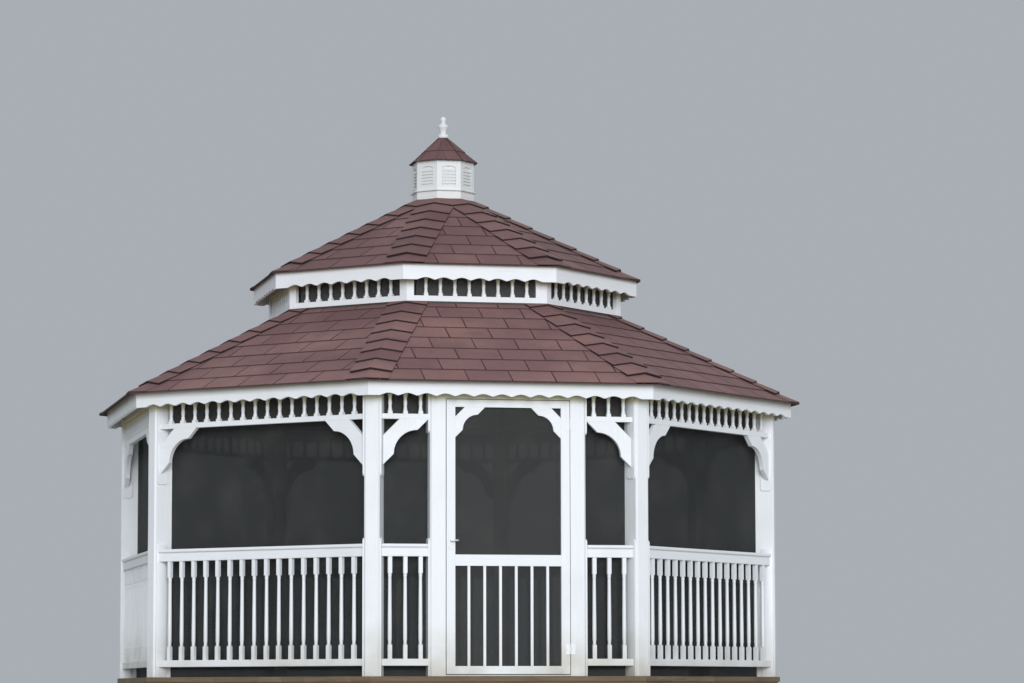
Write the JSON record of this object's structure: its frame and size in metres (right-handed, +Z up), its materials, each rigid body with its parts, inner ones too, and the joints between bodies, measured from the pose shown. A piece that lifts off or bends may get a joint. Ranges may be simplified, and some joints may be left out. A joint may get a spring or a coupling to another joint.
{
  "type": "garden gazebo",
  "caption": "Eight-sided garden gazebo with two-tier shingled roof, turned spindle friezes, railings, screened bays, hinged screen door, louvred cupola and finial.",
  "frame": {"origin": "centre of the octagon, on the ground under the floor frame", "axes": "+Z up; -Y out through the door bay; +X to the right seen from outside the door"},
  "size_m": [5.2006, 5.2006, 4.6617],
  "materials": {
    "painted_timber": "white exterior gloss paint, softly worn",
    "deck_timber": "brown stained pressure-treated pine",
    "roof_timber": "bare planed softwood",
    "shingle": "red-brown mineral granules on asphalt felt",
    "insect_screen": "charcoal woven insect mesh",
    "door_hardware": "satin grey",
    "threshold": "mill finish, dulled"
  },
  "bodies": {
    "gazebo": {"corner_posts": "painted_timber", "post_plates": "painted_timber", "door_jambs": "painted_timber", "door_head": "painted_timber", "door_stops": "painted_timber", "header_beams": "painted_timber", "friezes": "painted_timber", "railings": "painted_timber", "corner_brackets": "painted_timber", "main_fascia": "painted_timber", "upper_walls": "painted_timber", "upper_fascia": "painted_timber", "cupola_curb": "painted_timber", "cupola_flange": "painted_timber", "cupola_walls": "painted_timber", "cupola_louvres": "painted_timber", "finial": "painted_timber", "floor_deck": "deck_timber", "floor_rim": "deck_timber", "floor_joists": "deck_timber", "main_rafters": "roof_timber", "main_roof_boards": "roof_timber", "sill_beams": "roof_timber", "plate_beams": "roof_timber", "upper_rafters": "roof_timber", "upper_roof_boards": "roof_timber", "main_shingles": "shingle", "upper_shingles": "shingle", "cupola_roof": "shingle", "wall_screens": "insect_screen", "upper_screens": "insect_screen", "jamb_hinges": "door_hardware", "door_sill": "threshold"},
    "screen_door": {"door_stiles": "painted_timber", "door_rails": "painted_timber", "door_pickets": "painted_timber", "door_brackets": "painted_timber", "door_screens": "insect_screen", "door_latch": "door_hardware", "door_hinges": "door_hardware"}
  },
  "joints": [
    {"name": "door_hinge", "type": "hinge", "parent": "gazebo", "child": "screen_door", "pos_m": [0.457, -2.42581, 1.2], "axis": [0, 0, 1], "range_deg": [0, 100]}
  ]
}
